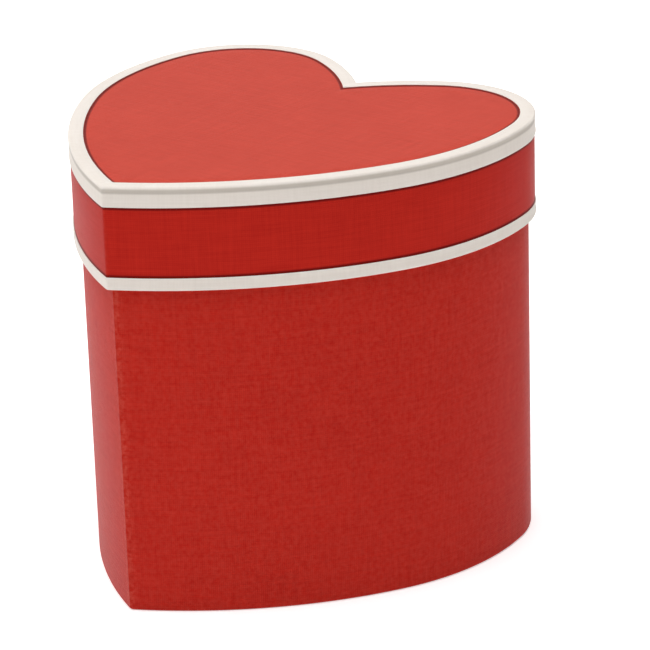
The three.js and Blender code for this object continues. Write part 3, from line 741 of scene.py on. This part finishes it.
# Carries a section round half the heart, trims it at the middle line and mirrors it.
def sweepHeart(piece, pointRound=0.0):
    first = heartArcs[0]
    allEdit(piece)
    bpy.ops.transform.translate(value=(first["radius"], 0, 0))
    bpy.ops.object.mode_set(mode="OBJECT")
    piece.location = (first["centre"].x, first["centre"].y, 0)
    piece.rotation_euler = (0, 0, first["start"] + math.radians(heartPlan["cleftSpare"]))
    bpy.ops.object.transform_apply(location=True, rotation=True, scale=True)
    allEdit(piece)
    for arc in heartArcs:
        angle = arc["start"] - arc["end"]
        if arc is heartArcs[0]:
            angle += math.radians(heartPlan["cleftSpare"])
        if arc is heartArcs[-1]:
            angle += math.radians(heartPlan["pointSpare"])
        steps = math.ceil(angle * arc["radius"] / (heartPlan["step"] * mm))
        centre = (arc["centre"].x, arc["centre"].y, 0)
        bpy.ops.mesh.spin(steps=steps, angle=angle, center=centre, axis=(0, 0, 1))
    bpy.ops.mesh.select_all(action="SELECT")
    bpy.ops.mesh.bisect(plane_co=(0, 0, 0), plane_no=(1, 0, 0), clear_inner=True)
    bpy.ops.object.mode_set(mode="OBJECT")
    putOn(piece, "MIRROR", merge_threshold=0.01 * mm)
    allEdit(piece)
    bpy.ops.mesh.remove_doubles(threshold=0.001 * mm)
    bpy.ops.mesh.normals_make_consistent(inside=False)
    if pointRound:
        points = piece.data.vertices
        pick(
            piece,
            "EDGE",
            lambda edge: all(abs(points[v].co.x) < 1e-6 and points[v].co.y < 0 for v in edge.vertices),
        )
        bpy.ops.mesh.bevel(offset=pointRound * mm, segments=3, affect="EDGES")
    bpy.ops.object.mode_set(mode="OBJECT")


# Closes the opening inside a swept plate with one flat face, cut into triangles.
def fillInside(piece, offset, height):
    pick(
        piece,
        "VERT",
        lambda vertex: abs(vertex.co.z - height * mm) < 1e-6
        and abs(heartPlace(vertex.co.x, vertex.co.y)[1] - offset * mm) < 0.02 * mm,
    )
    bpy.ops.mesh.edge_face_add()
    bpy.ops.mesh.quads_convert_to_tris(quad_method="BEAUTY", ngon_method="BEAUTY")
    bpy.ops.object.mode_set(mode="OBJECT")


def layCloth(piece, thickness):
    putOn(piece, "SOLIDIFY", thickness=thickness * mm, offset=-1)


# Unrolls the cloth: along the outline from the point, and up the wall and in over its edges.
def unroll(piece):
    layer = piece.data.uv_layers.new(name="unrolled")
    vertices = piece.data.vertices
    for face in piece.data.polygons:
        side = 1 if face.center.x >= 0 else -1
        for corner, index in zip(face.loop_indices, face.vertices):
            spot = vertices[index].co
            along, offset = heartPlace(spot.x, spot.y)
            if abs(spot.x) > 1e-6:
                side = 1 if spot.x > 0 else -1
            layer.data[corner].uv = (side * along, spot.z - offset)


def finishPiece(piece, material, body, nodes=(), smooth=32):
    alone(piece)
    bpy.ops.object.shade_smooth_by_angle(angle=math.radians(smooth))
    piece.data.materials.clear()
    piece.data.materials.append(material)
    if nodes:
        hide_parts(*nodes)
    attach(piece, body)
    return piece


bodyPlan = {
    "inset": 1.8,
    "turnedTo": 4.2,
    "cloth": 0.3,
    "top": 104.4,
    "hollowTop": 15,
    "rimTurnIn": 12,
    "bottomRound": 0.8,
    "rimRound": 0.7,
    "insideRound": 0.4,
    "pointRound": 0.45,
    "lap": (3, 12),  # the cloth's end laps over its start beside the cleft
    "lapLift": 0.12,
}


def makeBodyCloth(plan):
    outer = -plan["inset"]
    inner = -plan["turnedTo"]
    piece = drawSection(
        "bodyCloth",
        [
            (inner, plan["hollowTop"]),
            (inner, 0, plan["insideRound"]),
            (outer, 0, plan["bottomRound"]),
            (outer, plan["top"], plan["rimRound"]),
            (inner, plan["top"], plan["insideRound"]),
            (inner, plan["top"] - plan["rimTurnIn"]),
        ],
    )
    sweepHeart(piece, plan["pointRound"])
    length = heartPlace(0, 1)[0]

    def inLap(face):
        along, offset = heartPlace(face.center.x, face.center.y)
        fromCleft = (length - along) / mm
        low, high = plan["lap"]
        return face.center.x > 0 and low < fromCleft < high and abs(offset / mm - outer) < 0.1

    pick(piece, "FACE", inLap)
    bpy.ops.transform.shrink_fatten(value=plan["lapLift"] * mm)
    bpy.ops.object.mode_set(mode="OBJECT")
    layCloth(piece, plan["cloth"])
    unroll(piece)
    return finishPiece(piece, paints["clothRound"], "box", ["base_wall_cover"])


def makeBodyLining(plan):
    low, high = (corner.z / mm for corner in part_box("base_lining"))
    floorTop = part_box("platform_cover")[1].z / mm
    outer = -plan["turnedTo"] + plan["cloth"]
    piece = drawSection("bodyLining", [(outer, max(low, floorTop)), (outer, high)])
    sweepHeart(piece)
    layCloth(piece, plan["cloth"])
    unroll(piece)
    return finishPiece(piece, paints["cream_paper"], "box", ["base_lining"])


def makeFloorFlock(plan):
    low, high = (corner.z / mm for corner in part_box("platform_cover"))
    outer = -plan["turnedTo"] - 0.05
    piece = drawSection("floorFlock", [(outer, high - 0.3), (outer, high, 0.2), (outer - 4, high)])
    sweepHeart(piece)
    fillInside(piece, outer - 4, high)
    layCloth(piece, (high - low) * 0.4)
    unroll(piece)
    return finishPiece(piece, paints["red_velvet"], "box", ["platform_cover"])


makeBodyCloth(bodyPlan)
makeBodyLining(bodyPlan)
makeFloorFlock(bodyPlan)
print("body covered")


lidPlan = {
    "top": 107,
    "bottom": 82,
    "tape": 0.2,
    "cloth": 0.3,
    "skirt": 1.55,
    "onTop": 3.6,
    "down": 4.9,
    "edgeUp": 3.1,
    "foldRound": 0.45,
    "hollow": 0.18,  # how far the side of the tape dips under its fold
    "lip": 0.08,  # how far its lower edge stands out
    "edgeHollow": 0.1,
    "pointRound": 0.4,
    "press": 0.12,  # the cloth is pressed down beside the tape
    # width of the painted shade line beside each tape edge
    "shadeReach": 0.55,
}


def makeLidTopCloth(plan):
    high = plan["top"] - plan["tape"]
    edge = -plan["onTop"]
    piece = drawSection(
        "lidTopCloth",
        [
            (-plan["tape"] - 0.05, high),
            (edge + 0.2, high),
            (edge - 0.1, high - plan["press"]),
            (edge - 0.5, high - plan["press"]),
            (edge - 1.6, high),
            (edge - 4, high),
        ],
    )
    sweepHeart(piece)
    fillInside(piece, edge - 4, high)
    layCloth(piece, plan["cloth"])
    unroll(piece)
    return finishPiece(piece, paints["clothTop"], "lid", ["lid_top_cover"], 60)


def makeLidSkirtCloth(plan):
    outer = -plan["tape"]
    low = plan["bottom"] + plan["tape"]
    lowEdge = plan["bottom"] + plan["edgeUp"]
    highEdge = plan["top"] - plan["down"]
    high = plan["top"] - plan["tape"] - plan["cloth"]
    press = plan["press"] * 0.6
    piece = drawSection(
        "lidSkirtCloth",
        [
            (outer, low),
            (outer, lowEdge - 0.1),
            (outer - press, lowEdge + 0.15),
            (outer - press, lowEdge + 0.5),
            (outer, lowEdge + 1.4),
            (outer, highEdge - 1.4),
            (outer - press, highEdge - 0.5),
            (outer - press, highEdge - 0.15),
            (outer, highEdge + 0.1),
            (outer, high),
        ],
    )
    sweepHeart(piece, plan["pointRound"])
    layCloth(piece, plan["cloth"])
    unroll(piece)
    return finishPiece(piece, paints["clothSkirt"], "lid", ["lid_skirt_cover"], 60)


def makeLidTopTape(plan):
    top = plan["top"]
    piece = drawSection(
        "lidTopTape",
        [
            (-plan["onTop"], top - 0.06),
            (-plan["onTop"] + 0.2, top),
            (0, top, plan["foldRound"]),
            (0.02, top - 0.8),
            (-plan["hollow"], top - 1.05),
            (-plan["hollow"], top - 1.4),
            (-0.08, top - 2.1),
            (-0.08, top - plan["down"] + 1.5),
            (plan["lip"], top - plan["down"] + 0.6),
            (plan["lip"], top - plan["down"] + 0.2),
            (-0.02, top - plan["down"]),
        ],
    )
    sweepHeart(piece, plan["pointRound"])
    layCloth(piece, plan["tape"])
    unroll(piece)
    return finishPiece(piece, paints["tapeFold"], "lid", ["lid_top_tape"], 50)


def makeLidEdgeTape(plan):
    low = plan["bottom"]
    high = low + plan["edgeUp"]
    piece = drawSection(
        "lidEdgeTape",
        [
            (-plan["skirt"], high),
            (-plan["skirt"], low, 0.25),
            (0, low, 0.35),
            (plan["lip"], low + 0.6),
            (-plan["edgeHollow"], low + 1.3),
            (-plan["edgeHollow"], high - 1.0),
            (0.04, high - 0.4),
            (0.04, high - 0.2),
            (-0.05, high),
        ],
    )
    sweepHeart(piece, plan["pointRound"])
    layCloth(piece, plan["tape"])
    unroll(piece)
    return finishPiece(piece, paints["tapeRound"], "lid", ["lid_edge_tape"], 50)


# painted light: the lid top takes lighter colours and more sheen than the sides, for the light that falls
# on it from above
litTopFinish = dict(
    finishes["red_bookcloth"],
    deep=(0.46, 0.036, 0.018, 1),
    light=(0.67, 0.068, 0.040, 1),
    sheen=(0.42, 0.3),
)
# painted shade on the top cloth along the top tape's inner edge
topTapeShade = (lidPlan["top"] - lidPlan["tape"] + lidPlan["onTop"] + 0.25) * mm
paints["clothTop"] = makeFinish(
    "red_bookcloth_top_lit", litTopFinish, False, [(topTapeShade, lidPlan["shadeReach"] * mm)]
)
# painted shade just under the top tape's fold
foldShade = (lidPlan["top"] - 1.2 + lidPlan["hollow"]) * mm
paints["tapeFold"] = makeFinish("cream_tape_fold_shaded", finishes["cream_tape"], True, [(foldShade, 0.75 * mm)])
# painted shade on the skirt just under the top tape and just above the edge tape
skirtTapeShade = [
    ((lidPlan["top"] - lidPlan["down"] + lidPlan["tape"] - 0.25) * mm, lidPlan["shadeReach"] * mm),
    ((lidPlan["bottom"] + lidPlan["edgeUp"] + lidPlan["tape"] + 0.25) * mm, lidPlan["shadeReach"] * mm),
]
paints["clothSkirt"] = makeFinish("red_bookcloth_skirt_shaded", finishes["red_bookcloth"], True, skirtTapeShade)
makeLidTopCloth(lidPlan)
makeLidSkirtCloth(lidPlan)
makeLidTopTape(lidPlan)
makeLidEdgeTape(lidPlan)
print("lid covered")


# Turns a section into a round piece about an upright axis; all sizes in mm.
def turnSection(name, path, centre, steps=48):
    piece = drawSection(name, path)
    allEdit(piece)
    bpy.ops.mesh.spin(steps=steps, angle=2 * math.pi, center=(0, 0, 0), axis=(0, 0, 1))
    bpy.ops.mesh.select_all(action="SELECT")
    bpy.ops.mesh.remove_doubles(threshold=0.001 * mm)
    bpy.ops.mesh.normals_make_consistent(inside=False)
    bpy.ops.transform.translate(value=(centre[0] * mm, centre[1] * mm, 0))
    bpy.ops.object.mode_set(mode="OBJECT")
    return piece


def combine(piece, other, operation):
    putOn(piece, "BOOLEAN", object=other, operation=operation, solver="EXACT")
    bpy.data.objects.remove(other)


def copyOf(piece, name, shift):
    alone(piece)
    bpy.ops.object.duplicate()
    copy = bpy.context.object
    copy.name = name
    copy.data.name = name
    allEdit(copy)
    bpy.ops.transform.translate(value=Vector(shift) * mm)
    bpy.ops.object.mode_set(mode="OBJECT")
    return copy


# paper pasted inside the lid, under its top
def makeLidPaper(plan):
    low, high = (corner.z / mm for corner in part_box("lid_lining"))
    outer = -plan["skirt"] - 0.1
    piece = drawSection("lidPaper", [(outer, high - 0.05), (outer, low, 0.1), (outer - 4, low)])
    sweepHeart(piece)
    fillInside(piece, outer - 4, low)
    allEdit(piece)
    bpy.ops.mesh.normals_make_consistent(inside=False)
    bpy.ops.object.mode_set(mode="OBJECT")
    layCloth(piece, (high - low) * 0.8)
    unroll(piece)
    return finishPiece(piece, paints["cream_paper"], "lid", ["lid_lining"])


# brass butterfly key under the box
keyPlan = {
    "place": (-16.5, 8),
    "hub": 3.6,
    "bore": 2.0,
    "boreFrom": 9.36,
    "low": 4.6,
    "waist": 3.0,
    "high": 13.7,
    "loop": 4.6,
    "loopOut": 6.4,
    "loopHeight": 6.6,
    "eye": 2.07,
    "eyeOut": 7.0,
    "thick": 1.8,
    "webHigh": 9.0,
    "edgeRound": 0.35,
}


def makeKeyDisc(name, radius, out, depth, plan):
    bpy.ops.object.select_all(action="DESELECT")
    place = Vector((plan["place"][0], plan["place"][1] + out, plan["loopHeight"])) * mm
    bpy.ops.mesh.primitive_cylinder_add(
        vertices=56, radius=radius * mm, depth=depth * mm, location=place, rotation=(0, math.pi / 2, 0)
    )
    disc = bpy.context.object
    disc.name = name
    bpy.ops.object.transform_apply(location=True, rotation=True, scale=True)
    return disc


def makeWindingKey(plan):
    low, high = plan["low"], plan["high"]
    key = turnSection(
        "windingKey",
        [
            (0, low),
            (plan["waist"], low, 0.5),
            (plan["hub"] - 0.25, low + 1.6),
            (plan["hub"] - 0.25, high - 2.4),
            (plan["hub"], high - 2.0),
            (plan["hub"], high, 0.4),
            (plan["bore"], high, 0.15),
            (plan["bore"], plan["boreFrom"]),
            (0, plan["boreFrom"]),
        ],
        plan["place"],
        64,
    )
    bpy.ops.object.select_all(action="DESELECT")
    middle = Vector((*plan["place"], (low + plan["webHigh"]) / 2)) * mm
    bpy.ops.mesh.primitive_cube_add(size=1, location=middle)
    web = bpy.context.object
    web.scale = Vector((plan["thick"] * 0.98, 2 * plan["loopOut"], plan["webHigh"] - low)) * mm
    bpy.ops.object.transform_apply(location=True, rotation=True, scale=True)
    wings = makeKeyDisc("keyWing", plan["loop"], plan["loopOut"], plan["thick"], plan)
    combine(wings, makeKeyDisc("keyWing", plan["loop"], -plan["loopOut"], plan["thick"], plan), "UNION")
    combine(wings, web, "UNION")
    for side in (1, -1):
        combine(wings, makeKeyDisc("keyEye", plan["eye"], side * plan["eyeOut"], 9, plan), "DIFFERENCE")
    putOn(
        wings,
        "BEVEL",
        width=plan["edgeRound"] * mm,
        segments=3,
        limit_method="ANGLE",
        angle_limit=math.radians(50),
    )
    combine(key, wings, "UNION")
    bore = turnSection(
        "keyBore",
        [(0, plan["boreFrom"]), (plan["bore"], plan["boreFrom"]), (plan["bore"], high + 1), (0, high + 1)],
        plan["place"],
        64,
    )
    combine(key, bore, "DIFFERENCE")
    return finishPiece(key, paints["brass"], "winding", ["winding_key"], 40)


# three slotted pan-head screws with washers, which hold the movement to the floor board
baseScrewPlan = {
    "head": 2.3,
    "shank": 1.2,
    "slotWide": 0.7,
    "slotDeep": 0.75,
    "washer": 3.2,
    "washerHole": 1.4,
}


def middleOf(node):
    low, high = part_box(node)
    return (low + high) / 2 / mm


def makeBaseScrews(plan):
    slots = {part["node"]: part["material_slot"] for part in record["subparts"]}
    first = middleOf("base_screw_1")
    low, high = (corner.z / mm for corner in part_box("base_screw_1"))
    washerLow, washerHigh = (corner.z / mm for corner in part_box("base_washer_1"))
    screw = turnSection(
        "baseScrew1",
        [
            (0, low),
            (plan["head"] * 0.5, low + 0.06),
            (plan["head"] * 0.85, low + 0.32),
            (plan["head"], low + 0.85),
            (plan["head"], washerLow, 0.12),
            (plan["shank"], washerLow),
            (plan["shank"], high - 0.8),
            (plan["shank"] * 0.4, high),
            (0, high),
        ],
        first,
    )
    bpy.ops.object.select_all(action="DESELECT")
    bpy.ops.mesh.primitive_cube_add(size=1, location=Vector((first.x, first.y, low)) * mm)
    cutter = bpy.context.object
    cutter.scale = Vector((plan["slotWide"], plan["head"] * 3, plan["slotDeep"] * 2)) * mm
    cutter.rotation_euler = (0, 0, math.radians(35))
    bpy.ops.object.transform_apply(location=True, rotation=True, scale=True)
    combine(screw, cutter, "DIFFERENCE")
    washer = turnSection(
        "baseWasher1",
        [
            (plan["washerHole"], washerLow, 0.08),
            (plan["washer"], washerLow, 0.15),
            (plan["washer"], washerHigh, 0.08),
            (plan["washerHole"], washerHigh),
            (plan["washerHole"], washerLow),
        ],
        first,
    )
    for number in (2, 3):
        shift = middleOf("base_screw_" + str(number)) - first
        for kind, made in (("Screw", screw), ("Washer", washer)):
            node = "base_" + kind.lower() + "_" + str(number)
            copy = copyOf(made, "base" + kind + str(number), shift)
            finishPiece(copy, paints[slots[node]], "box", [node], 35)
    for kind, made in (("Screw", screw), ("Washer", washer)):
        node = "base_" + kind.lower() + "_1"
        finishPiece(made, paints[slots[node]], "box", [node], 35)


makeLidPaper(lidPlan)
makeWindingKey(keyPlan)
makeBaseScrews(baseScrewPlan)
print("key and screws made")
